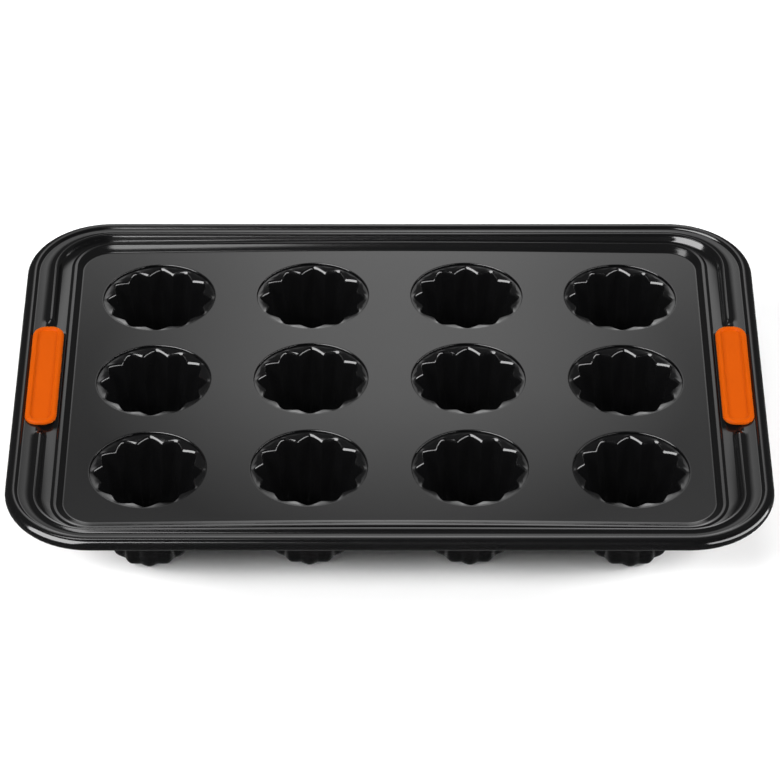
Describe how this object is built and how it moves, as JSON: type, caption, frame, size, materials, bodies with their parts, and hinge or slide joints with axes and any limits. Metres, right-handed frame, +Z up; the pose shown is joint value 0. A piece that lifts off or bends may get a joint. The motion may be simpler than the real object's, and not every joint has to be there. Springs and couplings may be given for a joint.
{
  "type": "canele pan",
  "caption": "Rectangular dark-coated steel baking tray with rows of deep fluted moulds seamed under it, a rolled wired rim and a soft orange grip on each short side.",
  "frame": {"origin": "on the table, under the middle of the pan, at the height of the undersides of the moulds", "axes": "+X along the long side towards the right-hand grip, +Y to the back edge, +Z up out of the moulds"},
  "size_m": [0.3694, 0.2566, 0.0527],
  "materials": {
    "tray_coating": "satin dark grey non-stick coating on steel sheet",
    "mould_coating": "satin near-black non-stick coating on drawn steel",
    "wire_steel": "plain drawn steel wire",
    "grip_silicone": "matt orange silicone"
  },
  "bodies": {
    "root": {"tray": "tray_coating", "rim_wire": "wire_steel", "mould_front_1": "mould_coating", "mould_front_2": "mould_coating", "mould_front_3": "mould_coating", "mould_front_4": "mould_coating", "mould_middle_1": "mould_coating", "mould_middle_2": "mould_coating", "mould_middle_3": "mould_coating", "mould_middle_4": "mould_coating", "mould_back_1": "mould_coating", "mould_back_2": "mould_coating", "mould_back_3": "mould_coating", "mould_back_4": "mould_coating", "grip_left": "grip_silicone", "grip_right": "grip_silicone"}
  },
  "joints": []
}
